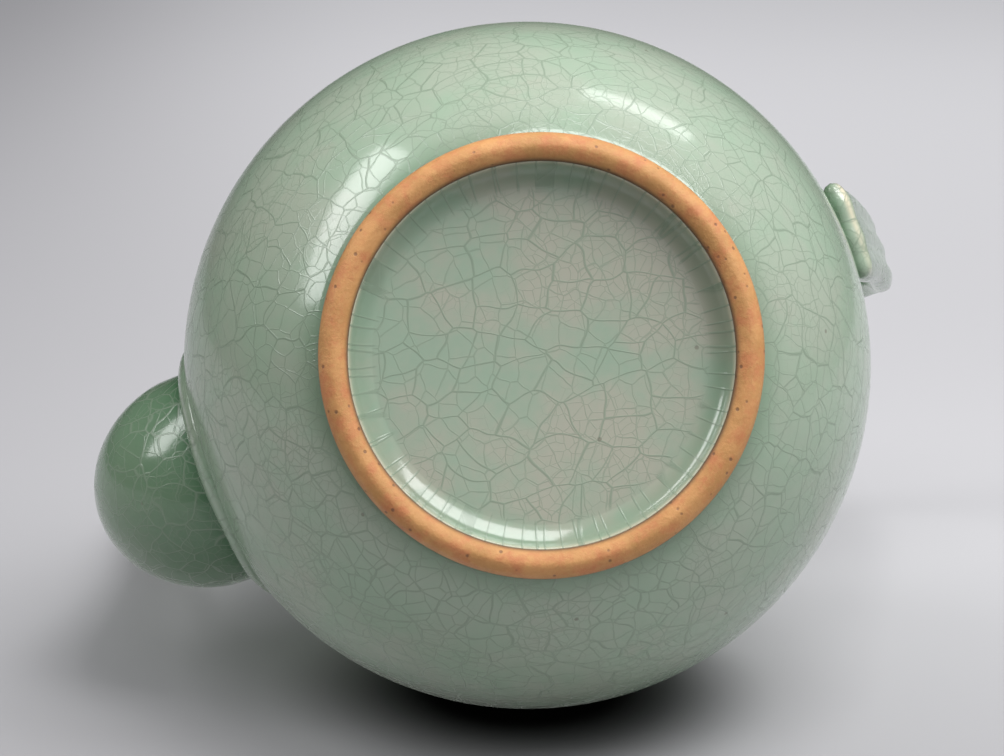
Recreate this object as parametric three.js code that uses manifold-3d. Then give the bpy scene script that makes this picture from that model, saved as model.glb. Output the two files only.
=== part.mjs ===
// A celadon double gourd ewer with its lid, in millimetres, +Z up.
// The origin is the centre of the foot ring, on the plane that the ewer stands on.
// The spout points towards -X and the handle towards +X.
import * as THREE from 'three';
import { LoftGeometry } from 'three/addons/geometries/LoftGeometry.js';
import { mergeVertices } from 'three/addons/utils/BufferGeometryUtils.js';
import Module from 'manifold-3d';

// Gourd: two round bulbs joined by hollow fillets, all flattened a little in height.
const lowerRadius = 70;
const upperRadius = 38;
const waistRadius = 17;
const waistFillet = 8;
const neckRadius = 12;
const neckFillet = 5;
const flattening = 0.93;
const wall = 3.8;
const floorThickness = 5;

// Foot ring: bare clay, rounded, with a narrow flat land that touches the table.
const footRadius = 42;
const footWidth = 5.6;
const footHeight = 7;
const footLand = 1.8;
const footCove = 3.2;

// Mouth: a short flared collar on the neck.
const mouthRadius = 15;
const mouthHeight = 12;
const mouthLip = 1.6;

// Spout: a swollen root that narrows to a slim upright tube, cut level at the tip.
// Reaches count outwards from the bulb's side, at the root.
const spoutRootRise = 11; // above the widest part of the lower bulb
const spoutTipDrop = 26.4; // below the mouth's rim
const spoutRootRadius = 22.4;
const spoutRootBore = 18;
const spoutElbowRadius = 17.6;
const spoutElbowReach = 8;
const spoutWaistRadius = 9.3;
const spoutWaistReach = 12;
const spoutTipRadius = 6.6;
const spoutTipReach = 17.6;
const spoutWall = 2.6;
const spoutHoleRadius = 9;
const spoutCollarWidth = 4.4;
const spoutCollarLength = 4.4;

// Handle: a wide strap from the lower bulb to the upper bulb, with three ridges along it.
const handleWidth = 20.5;
const handleThickness = 7;
const handleGroove = 1.3;
const handleFootRise = 7; // above the widest part of the lower bulb
const handleFootStandOff = 2.4;
const handleReach = 21.8;
const handleHeadRise = 6.3; // above the widest part of the upper bulb
const handleHeadSink = 5;
const handleFootLean = -4;
const handleArchLean = 0.7;
const handleArchSlim = 0.92; // share of the full width and thickness at the arch
const footRollRadius = 3.1;
const footRollLength = 21;
const footRollDrop = 4.2;
const headPadRadius = 5;
const headPadDrop = 4.5;
const headPadLength = 19;

// Cord loops: small rings of clay on the handle and on the lid.
const loopRadius = 3.9;
const loopThickness = 1.5;
const loopSink = 1.4;

// Lid: a low dome with a sleeve that drops into the neck and a bent stem for a knob.
const lidRadius = 15.6;
const lidRise = 8;
const lidEdge = 2;
const lidBrow = 1.7;
const sleeveLength = 11;
const sleeveWall = 2.2;
const lidHollow = 2.6;
const ventRadius = 0.6;
const stemHeight = 17;
const stemBend = 6;
const stemRadius = 3.1;
const stemTipRadius = 2;
const lidLoopReach = 10.2;

// Clearances.
const luteGap = 0.3; // between a luted piece and the curved wall it sits on
const lidGap = 0.3; // between the lid and the rim it rests on
const sleeveClearance = 0.5; // between the sleeve and the neck's bore, on the radius

// How finely the round shapes are faceted.
const bulbFacets = 40;
const smallFacets = 28;
const tubeFacets = 18;
const boreFacets = 12;
const strapFacets = 20;
const spoutSteps = 18;
const strapSteps = 24;
const lowerSteps = 7;
const upperSteps = 5;
const filletSteps = 2;

const wasm = await Module();
wasm.setup();

const glaze = new THREE.MeshStandardMaterial({ color: 0xa5baa4, roughness: 0.14, metalness: 0 });
const bareClay = new THREE.MeshStandardMaterial({ color: 0xc08a5e, roughness: 0.62, metalness: 0 });

// Solids

const toUpright = new THREE.Matrix4().set(1, 0, 0, 0, 0, 0, -1, 0, 0, 1, 0, 0, 0, 0, 0, 1);

// Turns a closed profile of (radius, height) points about the Z axis.
function turned(profile, facets) {
  return new THREE.LatheGeometry(profile, facets).applyMatrix4(toUpright);
}

// A manifold solid from a closed three.js geometry.
function solid(geometry) {
  const bare = new THREE.BufferGeometry();
  bare.setAttribute('position', geometry.attributes.position);
  bare.setIndex(geometry.index);
  const merged = mergeVertices(bare, 1e-3);
  return new wasm.Manifold(new wasm.Mesh({
    numProp: 3,
    vertProperties: merged.attributes.position.array,
    triVerts: new Uint32Array(merged.index.array),
  }));
}

function geometryOf(shape) {
  const mesh = shape.getMesh();
  const geometry = new THREE.BufferGeometry();
  geometry.setAttribute('position', new THREE.BufferAttribute(mesh.vertProperties, 3));
  geometry.setIndex(new THREE.BufferAttribute(mesh.triVerts, 1));
  geometry.computeVertexNormals();
  return geometry;
}

// Cuts each tool out of the body and keeps the largest piece.
function cut(body, ...tools) {
  const left = tools.reduce((shape, tool) => shape.subtract(tool), body);
  const pieces = left.decompose().sort((a, b) => b.volume() - a.volume());
  return pieces[0];
}

// Gourd outline

const lowerCentre = footHeight + flattening * Math.sqrt(lowerRadius ** 2 - footRadius ** 2);

// Rise of the narrowest point between a ball and its fillet, above the ball's centre.
function filletRise(ball, fillet, throat) {
  return Math.sqrt((ball + fillet) ** 2 - (throat + fillet) ** 2);
}

const waistRise = filletRise(lowerRadius, waistFillet, waistRadius);
const upperRise = waistRise + filletRise(upperRadius, waistFillet, waistRadius);
const neckRise = upperRise + filletRise(upperRadius, neckFillet, neckRadius);
const heightOf = (rise) => lowerCentre + flattening * rise;
const waistHeight = heightOf(waistRise);
const upperCentre = heightOf(upperRise);
const neckHeight = heightOf(neckRise);
const rimHeight = neckHeight + mouthHeight;

const spoutRootHeight = lowerCentre + spoutRootRise;
const spoutTipHeight = rimHeight - spoutTipDrop;
const handleFootHeight = lowerCentre + handleFootRise;
const handleHeadHeight = upperCentre + handleHeadRise;

// Radius of a bulb's outside at a height.
function bulbRadius(ball, centre, height) {
  return Math.sqrt(Math.max(ball ** 2 - ((height - centre) / flattening) ** 2, 0));
}

// Points on a round arc, squashed in height as the whole gourd is.
function arc(across, rise, radius, from, to, steps) {
  const path = new THREE.Path();
  path.absarc(across, rise, radius, from, to, from > to);
  return path.getPoints(steps).map((p) => new THREE.Vector2(p.x, heightOf(p.y)));
}

// Angle at which a ball centred on the axis hands over to a fillet.
const handOver = (rise, throat, fillet) => Math.atan2(rise, throat + fillet);

// The hollow fillet round the waist, from one angle to another, moved inwards by inset.
function waistArc(inset, from, to) {
  return arc(waistRadius + waistFillet, waistRise, waistFillet + inset, from, to, filletSteps);
}

// The lower bulb's side from a height up to the waist, moved inwards by inset.
function lowerSide(inset, fromHeight, steps) {
  const start = Math.asin((fromHeight - lowerCentre) / flattening / (lowerRadius - inset));
  const end = handOver(waistRise, waistRadius, waistFillet);
  return [
    ...arc(0, 0, lowerRadius - inset, start, end, steps),
    ...waistArc(inset, end + Math.PI, Math.PI).slice(1),
  ];
}

// The upper bulb's side from the waist up to the neck, moved inwards by inset.
function upperSide(inset, steps) {
  const start = handOver(waistRise - upperRise, waistRadius, waistFillet);
  const end = handOver(neckRise - upperRise, neckRadius, neckFillet);
  const neckReach = neckRadius + neckFillet;
  return [
    ...waistArc(inset, Math.PI, start + Math.PI),
    ...arc(0, upperRise, upperRadius - inset, start, end, steps).slice(1),
    ...arc(neckReach, neckRise, neckFillet + inset, end + Math.PI, Math.PI, filletSteps).slice(1),
  ];
}

// The outside of both bulbs as one solid, grown by a gap: what the luted pieces are cut to fit.
function gourdBlock(growth) {
  return solid(turned([
    new THREE.Vector2(0, footHeight),
    ...lowerSide(-growth, footHeight, lowerSteps),
    ...upperSide(-growth, upperSteps).slice(1),
    new THREE.Vector2(0, neckHeight),
  ], bulbFacets));
}

// Swept pieces

// A smooth curve through knots; each knot is { at: [x, y, z], half: [thickness, width] }.
function sweep(knots) {
  return {
    line: new THREE.CatmullRomCurve3(knots.map((k) => new THREE.Vector3(...k.at))),
    size: new THREE.CatmullRomCurve3(knots.map((k) => new THREE.Vector3(...k.half, 0))),
  };
}

const across = new THREE.Vector3(0, 1, 0);

// A closed loft along a sweep. outline(angle) gives the section as a share of the half sizes,
// and growth, which may depend on the section's centre, is added to them.
function lofted(run, steps, facets, growth = 0, outline = (a) => [Math.cos(a), Math.sin(a)]) {
  const sections = [];
  for (let i = 0; i <= steps; i++) {
    const centre = run.line.getPoint(i / steps);
    const along = run.line.getTangent(i / steps);
    const size = run.size.getPoint(i / steps);
    const extra = typeof growth === 'function' ? growth(centre) : growth;
    const out = new THREE.Vector3().crossVectors(across, along).normalize();
    const side = new THREE.Vector3().crossVectors(along, out);
    const ring = [];
    for (let j = 0; j < facets; j++) {
      const [thick, wide] = outline((j / facets) * 2 * Math.PI);
      ring.push(centre.clone()
        .addScaledVector(out, thick * (size.x + extra))
        .addScaledVector(side, wide * (size.y + extra)));
    }
    sections.push(ring);
  }
  const geometry = new LoftGeometry(sections, { capStart: true, capEnd: true });
  const shape = solid(geometry);
  if (shape.volume() > 0) return shape;
  return solid(new LoftGeometry(sections.map((ring) => ring.reverse()), { capStart: true, capEnd: true }));
}

// A round-ended roll of clay lying along Y.
function roll(radius, length, x, y, z) {
  const geometry = new THREE.CapsuleGeometry(radius, length - 2 * radius, 5, 12, 1);
  return solid(geometry.translate(x, y, z));
}

// A ring standing in the XZ plane.
function loopAt(x, y, z) {
  const ring = new THREE.TorusGeometry(loopRadius, loopThickness, 6, 16);
  return solid(ring.applyMatrix4(toUpright).translate(x, y, z));
}

// Body

function footRing() {
  const inner = footRadius - footWidth;
  const round = (footWidth - footLand) / 2;
  const path = new THREE.Path();
  path.moveTo(inner - footCove, footHeight);
  path.absarc(inner - footCove, footHeight - footCove, footCove, Math.PI / 2, 0, true);
  path.absarc(inner + round, round, round, Math.PI, 1.5 * Math.PI, false);
  path.absarc(footRadius - round, round, round, 1.5 * Math.PI, 2 * Math.PI, false);
  path.lineTo(footRadius, footHeight);
  path.closePath();
  return turned(path.getPoints(3), bulbFacets);
}

function lowerBulb(spoutHole) {
  const inside = lowerSide(wall, footHeight + floorThickness, lowerSteps - 2).reverse();
  const profile = [
    new THREE.Vector2(0, footHeight),
    ...lowerSide(0, footHeight, lowerSteps),
    ...inside,
    new THREE.Vector2(0, footHeight + floorThickness),
  ];
  return geometryOf(cut(solid(turned(profile, bulbFacets)), spoutHole));
}

function upperBulb() {
  const outside = upperSide(0, upperSteps);
  return turned([...outside, ...upperSide(wall, upperSteps - 1).reverse(), outside[0].clone()], smallFacets);
}

function neckCollar() {
  const bore = neckRadius - wall;
  const flareHeight = mouthHeight - 2 * mouthLip;
  const path = new THREE.Path();
  path.moveTo(bore, 0);
  path.lineTo(neckRadius, 0);
  path.quadraticCurveTo(neckRadius, flareHeight * 0.6, mouthRadius, flareHeight);
  path.absarc(mouthRadius - mouthLip, mouthHeight - mouthLip, mouthLip, 0, Math.PI / 2, false);
  path.lineTo(bore, mouthHeight);
  path.closePath();
  return turned(path.getPoints(3), smallFacets);
}

// Spout

const spoutSeat = bulbRadius(lowerRadius, lowerCentre, spoutRootHeight);
const spoutRise = spoutTipHeight - spoutRootHeight;

// Knots of the spout's centre line; each half size is passed through `trim` to get the wall or the bore.
function spoutRun(trim) {
  const knot = (reach, height, radius) => ({
    at: [-(spoutSeat + reach), 0, height],
    half: [trim(radius), trim(radius)],
  });
  const rise = (share) => spoutRootHeight + share * spoutRise;
  const beyondTip = 10;
  return sweep([
    knot(-spoutRootRadius, rise(-0.04), spoutRootRadius),
    knot(1, rise(0.02), spoutRootRadius),
    knot(spoutElbowReach, rise(0.13), spoutElbowRadius),
    knot((spoutElbowReach + spoutWaistReach) / 2, rise(0.3), (spoutElbowRadius + spoutWaistRadius) / 2 - 0.5),
    knot(spoutWaistReach, rise(0.55), spoutWaistRadius),
    knot((spoutWaistReach + spoutTipReach) / 2, rise(0.8), (spoutWaistRadius + spoutTipRadius) / 2 - 0.3),
    knot(spoutTipReach, rise(1), spoutTipRadius),
    knot(spoutTipReach + 1.5, rise(1) + beyondTip, spoutTipRadius),
  ]);
}

function spoutPiece(block) {
  const outside = lofted(spoutRun((r) => r), spoutSteps, tubeFacets);
  const thinning = (spoutRootRadius - spoutRootBore - spoutWall) / (spoutRootRadius - spoutTipRadius);
  const boreRun = spoutRun((r) => r - spoutWall - thinning * (r - spoutTipRadius));
  const bore = lofted(boreRun, spoutSteps, boreFacets);
  const room = 4 * spoutRootRadius;
  const above = new THREE.BoxGeometry(room, room, room);
  above.translate(-(spoutSeat + spoutTipReach), 0, spoutTipHeight + room / 2);
  return geometryOf(cut(outside, bore, solid(above), block));
}

// The clay bead pressed round the spout's root: widest on the bulb, and thinning out along the spout.
function spoutCollar(block) {
  const share = (centre) => Math.min(Math.max(1 - (-centre.x - spoutSeat) / (2 * spoutCollarLength), 0), 1);
  const swelling = (centre) => spoutCollarWidth * share(centre) - luteGap * (1 - share(centre));
  const bead = lofted(spoutRun((r) => r), 2 * spoutSteps, tubeFacets, swelling);
  const spoutRoom = lofted(spoutRun((r) => r), spoutSteps, tubeFacets, luteGap);
  return geometryOf(cut(bead.intersect(gourdBlock(luteGap + spoutCollarLength)), spoutRoom, block));
}

function spoutHoleTool() {
  const drill = new THREE.CylinderGeometry(spoutHoleRadius, spoutHoleRadius, 6 * wall, 16);
  drill.rotateZ(Math.PI / 2).translate(-(spoutSeat - wall / 2), 0, spoutRootHeight + 2);
  return solid(drill);
}

// Handle

const handleArch = lowerRadius + handleReach - handleThickness / 2;
const handleFootReach = bulbRadius(lowerRadius, lowerCentre, handleFootHeight) + handleFootStandOff;
const handleHeadReach = bulbRadius(upperRadius, upperCentre, handleHeadHeight) - handleHeadSink;
const handleRise = handleHeadHeight - handleFootHeight;

function handleRun() {
  const thick = handleThickness / 2;
  const wide = handleWidth / 2;
  const knot = (reach, share, lean, grow = 1) => ({
    at: [reach, lean, handleFootHeight + share * handleRise],
    half: [thick * grow, wide * grow],
  });
  const out = (share) => handleFootReach + share * (handleArch - handleFootReach);
  const back = (share) => handleHeadReach + share * (handleArch - handleHeadReach);
  return sweep([
    knot(out(0) - 1.2, -0.035, handleFootLean, 0.35),
    knot(out(0), 0.0, handleFootLean, 0.9),
    knot(out(0.2), 0.12, handleFootLean * 0.8),
    knot(out(0.5), 0.3, handleFootLean * 0.4, handleArchSlim),
    knot(out(0.78), 0.52, handleArchLean, handleArchSlim),
    knot(out(1), 0.78, handleArchLean, handleArchSlim),
    knot(back(0.9), 0.98, handleArchLean, handleArchSlim),
    knot(back(0.6), 1.08, handleArchLean * 0.6, handleArchSlim),
    knot(back(0.3), 1.07, handleArchLean * 0.3),
    knot(back(0), 1.0, 0, 1.1),
  ]);
}

// A flat oval whose outer and inner faces carry two grooves, so that three ridges run along the strap.
function strapOutline(angle) {
  const wide = Math.sign(Math.sin(angle)) * Math.abs(Math.sin(angle)) ** 0.75;
  const edge = Math.sign(Math.cos(angle)) * Math.abs(Math.cos(angle)) ** 0.55;
  const groove = (handleGroove / handleThickness) * (1 - Math.cos(3 * Math.PI * wide)) / 2;
  return [edge * (1 - groove), wide];
}

function handleStrap(block) {
  const strap = lofted(handleRun(), strapSteps, strapFacets, 0, strapOutline);
  return geometryOf(cut(strap, block));
}

function footRoll(block) {
  const seat = handleFootReach - handleFootStandOff + footRollRadius * 0.75;
  const shape = roll(footRollRadius, footRollLength, seat, handleFootLean, handleFootHeight - footRollDrop);
  const strapRoom = lofted(handleRun(), strapSteps, strapFacets, luteGap, strapOutline);
  return geometryOf(cut(shape, block, strapRoom));
}

function headPad(block) {
  const seat = handleHeadReach + handleHeadSink;
  const shape = roll(headPadRadius, headPadLength, seat, 0, handleHeadHeight - headPadDrop);
  const strapRoom = lofted(handleRun(), strapSteps, strapFacets, luteGap, strapOutline);
  return geometryOf(cut(shape, block, strapRoom));
}

// The ring on the handle stands on top of the arch.
function handleLoop() {
  const run = handleRun();
  const seat = 0.71;
  const point = run.line.getPoint(seat);
  const along = run.line.getTangent(seat);
  const out = new THREE.Vector3().crossVectors(across, along).normalize();
  if (out.z < 0) out.negate();
  point.addScaledVector(out, handleArchSlim * handleThickness / 2 + loopRadius + loopThickness - loopSink);
  const strapRoom = lofted(run, strapSteps, strapFacets, luteGap, strapOutline);
  return geometryOf(cut(loopAt(point.x, point.y, point.z), strapRoom));
}

// Lid, in a frame whose origin is on the axis at the lid's underside

const sleeveRadius = neckRadius - wall - sleeveClearance;
const stemSeat = stemRadius * 1.35;

// Height of the dome's top surface at a distance from the axis.
function domeHeight(reach) {
  const share = Math.min(reach / (lidRadius - lidBrow), 1);
  return lidEdge + (lidRise - lidEdge) * Math.sqrt(1 - share ** 2);
}

function domeProfile(growth) {
  const points = [];
  const steps = 8;
  for (let i = steps; i >= 0; i--) {
    const reach = stemSeat + (lidRadius - lidBrow - stemSeat) * (i / steps);
    points.push(new THREE.Vector2(reach, domeHeight(reach) + growth));
  }
  return points;
}

function lidDome() {
  const hollow = sleeveRadius - sleeveWall;
  const profile = [
    new THREE.Vector2(0, lidHollow),
    new THREE.Vector2(hollow, lidHollow),
    new THREE.Vector2(hollow, 0),
    new THREE.Vector2(lidRadius - lidEdge / 2, 0),
    new THREE.Vector2(lidRadius, lidEdge / 2),
    new THREE.Vector2(lidRadius - lidEdge / 4, lidEdge),
    ...domeProfile(0),
    new THREE.Vector2(0, domeHeight(stemSeat)),
  ];
  const vent = new THREE.CylinderGeometry(ventRadius, ventRadius, 3 * lidRise, 10);
  const ventReach = (stemSeat + hollow) / 2;
  vent.applyMatrix4(toUpright).translate(0, -ventReach, lidRise / 2);
  return geometryOf(cut(solid(turned(profile, smallFacets)), solid(vent)));
}

function lidSleeve() {
  const inner = sleeveRadius - sleeveWall;
  const taper = 0.6;
  return turned([
    new THREE.Vector2(inner, -sleeveLength),
    new THREE.Vector2(sleeveRadius - taper, -sleeveLength),
    new THREE.Vector2(sleeveRadius, -sleeveLength + 2 * taper),
    new THREE.Vector2(sleeveRadius, 0),
    new THREE.Vector2(inner, 0),
    new THREE.Vector2(inner, -sleeveLength),
  ], smallFacets);
}

function stemKnob() {
  const base = domeHeight(stemSeat);
  const knot = (bend, share, radius) => ({
    at: [-stemBend * bend, 0, base + share * stemHeight],
    half: [radius, radius],
  });
  const stem = lofted(sweep([
    knot(0, -0.1, stemSeat),
    knot(0, 0.03, stemSeat * 0.93),
    knot(0.02, 0.25, stemRadius * 0.8),
    knot(0.22, 0.6, (stemRadius + stemTipRadius) / 2 * 0.85),
    knot(0.62, 0.86, stemTipRadius * 0.95),
    knot(1, 1, stemTipRadius * 1.15),
  ]), 12, 12);
  const room = 2 * lidRadius;
  const below = new THREE.BoxGeometry(room, room, room).translate(0, 0, base - room / 2);
  return geometryOf(cut(stem, solid(below)));
}

function lidLoop() {
  const dome = solid(turned([
    new THREE.Vector2(0, 0),
    new THREE.Vector2(lidRadius - lidBrow, 0),
    ...domeProfile(luteGap),
    new THREE.Vector2(0, domeHeight(stemSeat) + luteGap),
  ], smallFacets));
  const centre = domeHeight(lidLoopReach) + loopRadius + loopThickness - loopSink;
  return geometryOf(cut(loopAt(lidLoopReach, 0, centre), dome));
}

// Assembly

function piece(name, geometry, material = glaze) {
  const mesh = new THREE.Mesh(geometry, material);
  mesh.name = name;
  return mesh;
}

const block = gourdBlock(luteGap);

const body = new THREE.Group();
body.add(
  piece('foot_ring', footRing(), bareClay),
  piece('lower_bulb', lowerBulb(spoutHoleTool())),
  piece('upper_bulb', upperBulb()),
);
const neck = piece('neck_collar', neckCollar());
neck.position.z = neckHeight;
body.add(neck);

const spout = new THREE.Group();
spout.add(
  piece('spout', spoutPiece(block)),
  piece('spout_collar', spoutCollar(block)),
);

const handle = new THREE.Group();
handle.add(
  piece('handle_strap', handleStrap(block)),
  piece('handle_foot_roll', footRoll(block)),
  piece('handle_head_pad', headPad(block)),
  piece('handle_cord_loop', handleLoop()),
);

const lid = new THREE.Group();
lid.position.z = rimHeight + lidGap;
lid.add(
  piece('lid_dome', lidDome()),
  piece('lid_sleeve', lidSleeve()),
  piece('lid_stem_knob', stemKnob()),
  piece('lid_cord_loop', lidLoop()),
);

const ewer = new THREE.Group();
ewer.add(body, spout, handle, lid);

export default ewer;
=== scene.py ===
# A celadon double gourd ewer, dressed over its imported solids. Metres, +Z up, spout towards -X.
import math

import bmesh
import bpy
import numpy as np
from mathutils import Matrix, Vector


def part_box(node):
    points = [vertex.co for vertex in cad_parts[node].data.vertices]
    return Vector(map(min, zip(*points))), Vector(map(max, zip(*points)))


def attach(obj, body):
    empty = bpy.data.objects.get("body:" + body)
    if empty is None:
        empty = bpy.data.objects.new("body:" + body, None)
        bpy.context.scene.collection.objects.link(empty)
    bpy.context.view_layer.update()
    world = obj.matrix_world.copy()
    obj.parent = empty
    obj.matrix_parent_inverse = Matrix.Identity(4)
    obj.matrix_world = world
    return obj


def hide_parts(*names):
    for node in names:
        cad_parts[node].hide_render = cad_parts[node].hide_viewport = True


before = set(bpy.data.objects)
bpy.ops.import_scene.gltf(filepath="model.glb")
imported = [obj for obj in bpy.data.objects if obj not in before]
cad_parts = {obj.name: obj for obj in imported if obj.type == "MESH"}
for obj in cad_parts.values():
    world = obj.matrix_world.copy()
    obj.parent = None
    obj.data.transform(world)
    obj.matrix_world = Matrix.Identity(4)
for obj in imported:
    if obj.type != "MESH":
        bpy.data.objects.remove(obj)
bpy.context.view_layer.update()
world_scene = bpy.context.scene


# Viewpoint
# The ewer is seen from under its foot with the foot's centre nearly ahead of the lens.
# It lies on its side in the picture, so the picture's "up" is a sideways direction of the pot.
FOOT_IN_VIEW = Vector((0.00766, 0.00439, 0.620))  # right, up and ahead of the lens
AXIS_IN_VIEW = Vector((-0.0422, -0.0298, 0.9986))
HANDLE_TURN = math.radians(19.6)  # how far the handle side points above the picture's right
LENS_MM = 118.97

axis_seen = AXIS_IN_VIEW.normalized()
handle_seen = Vector((math.cos(HANDLE_TURN), math.sin(HANDLE_TURN), 0))
handle_seen = (handle_seen - axis_seen * handle_seen.dot(axis_seen)).normalized()
side_seen = handle_seen.cross(axis_seen)
view_right, view_up, view_ahead = (
    Vector((handle_seen[i], side_seen[i], axis_seen[i])) for i in range(3)
)
lens = bpy.data.cameras.new("camera")
lens.lens = LENS_MM
lens.clip_start = 0.01
camera = bpy.data.objects.new("camera", lens)
turn = Matrix((view_right, view_up, -view_ahead)).transposed().to_4x4()
camera_place = -(view_right * FOOT_IN_VIEW.x + view_up * FOOT_IN_VIEW.y + view_ahead * FOOT_IN_VIEW.z)
camera.matrix_world = Matrix.Translation(camera_place) @ turn
world_scene.collection.objects.link(camera)
world_scene.camera = camera
world_scene.view_settings.view_transform = "Standard"


# Table, backdrop and light
# The pot lies on a seamless grey sheet that touches both bulbs. The sheet's grey has painted light
# and shade in it: darker to the left and near the foot's end, a painted bright patch further along
# on the right, and a painted contact shadow where the big bulb touches it. A second floor lies
# under the foot for a pot that stands. Neither stops a lamp's light, and each shows from one side only.
class Value:
    """One socket of a node tree. An expression on it adds maths nodes."""

    def __init__(self, tree, socket):
        self.tree = tree
        self.socket = socket

    def maths(self, operation, *others):
        return self.tree.add("Math", {"operation": operation}, self, *others)

    def __add__(self, other):
        return self.maths("ADD", other)

    def __sub__(self, other):
        return self.maths("SUBTRACT", other)

    def __rsub__(self, other):
        return self.tree.add("Math", {"operation": "SUBTRACT"}, other, self)

    def __mul__(self, other):
        return self.maths("MULTIPLY", other)

    def __truediv__(self, other):
        return self.maths("DIVIDE", other)

    def __rtruediv__(self, other):
        return self.tree.add("Math", {"operation": "DIVIDE"}, other, self)

    def __neg__(self):
        return self * -1

    __radd__ = __add__
    __rmul__ = __mul__

    def most(self, other):
        return self.maths("MAXIMUM", other)

    def step(self, low, high):
        """0 below low and 1 above high, with a smooth rise between."""
        settings = {"interpolation_type": "SMOOTHSTEP"}
        return self.tree.add("MapRange", settings, self, low, high, 0.0, 1.0)


class Tree:
    """A node tree, emptied and filled again by expressions."""

    def __init__(self, nodes):
        self.tree = nodes
        self.tree.nodes.clear()

    def add(self, kind, settings=None, *values, out=0, **named):
        """Adds a node: its settings first, then the values or links of its sockets."""
        node = self.tree.nodes.new(kind if "Node" in kind else "ShaderNode" + kind)
        for key, setting in (settings or {}).items():
            setattr(node, key, setting)
        for place, value in list(enumerate(values)) + list(named.items()):
            if isinstance(place, str):
                place = place.replace("_", " ")
            self.join(node.inputs[place], value)
        return Value(self, node.outputs[out])

    def join(self, slot, value):
        if isinstance(value, Value):
            self.tree.links.new(value.socket, slot)
        elif value is not None:
            slot.default_value = value

    def vector(self, operation, *values, out=0, **named):
        return self.add("VectorMath", {"operation": operation}, *values, out=out, **named)


class Paint(Tree):
    """The node tree of one material."""

    def __init__(self, name):
        self.material = bpy.data.materials.new(name)
        self.material.use_nodes = True
        super().__init__(self.material.node_tree)
        self.output = self.tree.nodes.new("ShaderNodeOutputMaterial")

    def place(self):
        """The point being shaded, in the pot's own frame."""
        return self.add("TexCoord", out="Object")

    def parts(self, vector):
        node = self.tree.nodes.new("ShaderNodeSeparateXYZ")
        self.join(node.inputs[0], vector)
        return [Value(self, socket) for socket in node.outputs]

    def marks(self, name):
        """A number kept on the mesh's corners."""
        return self.add("Attribute", {"attribute_name": name, "attribute_type": "GEOMETRY"}, out="Fac")

    def noise(self, where, size, detail=3.0, rough=0.55, out=0, **more):
        return self.add(
            "TexNoise", None, Vector=where, Scale=1 / size, Detail=detail, Roughness=rough, out=out, **more
        )

    def colour(self, share, first, second):
        """Blends two colours, each a Value or three numbers."""
        node = self.tree.nodes.new("ShaderNodeMix")
        node.data_type = "RGBA"
        self.join(node.inputs["Factor"], share)
        for slot, value in ((node.inputs[6], first), (node.inputs[7], second)):
            self.join(slot, value if isinstance(value, Value) else (*value, 1.0))
        return Value(self, node.outputs[2])

    def shaken(self, where, size, reach):
        """The point moved about a little, so that a pattern on it runs in uneven curves."""
        drift = self.noise(where, size, detail=2.0, out="Color")
        centred = self.vector("SUBTRACT", drift, (0.5, 0.5, 0.5))
        scaled = self.vector("SCALE", centred, Scale=2 * reach)
        return self.vector("ADD", where, scaled)

    def finish(self, bump_height=None, bump_depth=0.0, **sockets):
        shader = self.tree.nodes.new("ShaderNodeBsdfPrincipled")
        for key, value in sockets.items():
            slot = shader.inputs[key.replace("_", " ")]
            if isinstance(value, tuple) and len(value) == 3:
                value = (*value, 1.0)
            self.join(slot, value)
        if bump_height is not None:
            bump = self.add("Bump", None, Height=bump_height, Distance=bump_depth, Strength=1.0)
            self.join(shader.inputs["Normal"], bump)
        self.tree.links.new(shader.outputs[0], self.output.inputs["Surface"])
        return self.material


_, BULB_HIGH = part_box("lower_bulb")
_, RING_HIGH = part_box("foot_ring")
SMALL_LOW, SMALL_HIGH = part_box("upper_bulb")
FLATTENING = 0.93
BULB_RADIUS = BULB_HIGH.x
SMALL_RADIUS = 0.038
FOOT_RADIUS = RING_HIGH.x
FOOT_HEIGHT = RING_HIGH.z
RING_WIDTH = 0.0056
COVE_WIDTH = 0.0046
BULB_CENTRE = FOOT_HEIGHT + FLATTENING * math.sqrt(BULB_RADIUS**2 - FOOT_RADIUS**2)
WAIST_RADIUS = 0.017
WAIST_FILLET = 0.008
NECK_RADIUS = 0.012
NECK_FILLET = 0.005
WAIST_RISE = math.sqrt((BULB_RADIUS + WAIST_FILLET) ** 2 - (WAIST_RADIUS + WAIST_FILLET) ** 2)
SMALL_RISE = WAIST_RISE + math.sqrt((SMALL_RADIUS + WAIST_FILLET) ** 2 - (WAIST_RADIUS + WAIST_FILLET) ** 2)
NECK_RISE = SMALL_RISE + math.sqrt((SMALL_RADIUS + NECK_FILLET) ** 2 - (NECK_RADIUS + NECK_FILLET) ** 2)
SHEET_GAP = 0.0005

photo_right = Vector((view_right.x, view_right.y, 0)).normalized()
photo_up = Vector((view_up.x, view_up.y, 0)).normalized()
sheet_lean = (BULB_RADIUS - SMALL_RADIUS) / (FLATTENING * SMALL_RISE)
sheet_normal = (photo_up * math.sqrt(1 - sheet_lean**2) - Vector((0, 0, sheet_lean))).normalized()
sheet_along = sheet_normal.cross(photo_right).normalized()
sheet_centre = Vector((0, 0, BULB_CENTRE)) - sheet_normal * (BULB_RADIUS + SHEET_GAP)
if sheet_along.z < 0:
    sheet_along = -sheet_along


def flat_sheet(name, centre, along, across, near, far, half_width, paint):
    corners = [
        centre + along * a + across * b
        for a, b in ((near, -half_width), (near, half_width), (far, half_width), (far, -half_width))
    ]
    mesh = bpy.data.meshes.new(name)
    mesh.from_pydata(corners, [], [(0, 1, 2, 3)])
    mesh.materials.append(paint)
    sheet = bpy.data.objects.new(name, mesh)
    world_scene.collection.objects.link(sheet)
    return sheet


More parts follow.
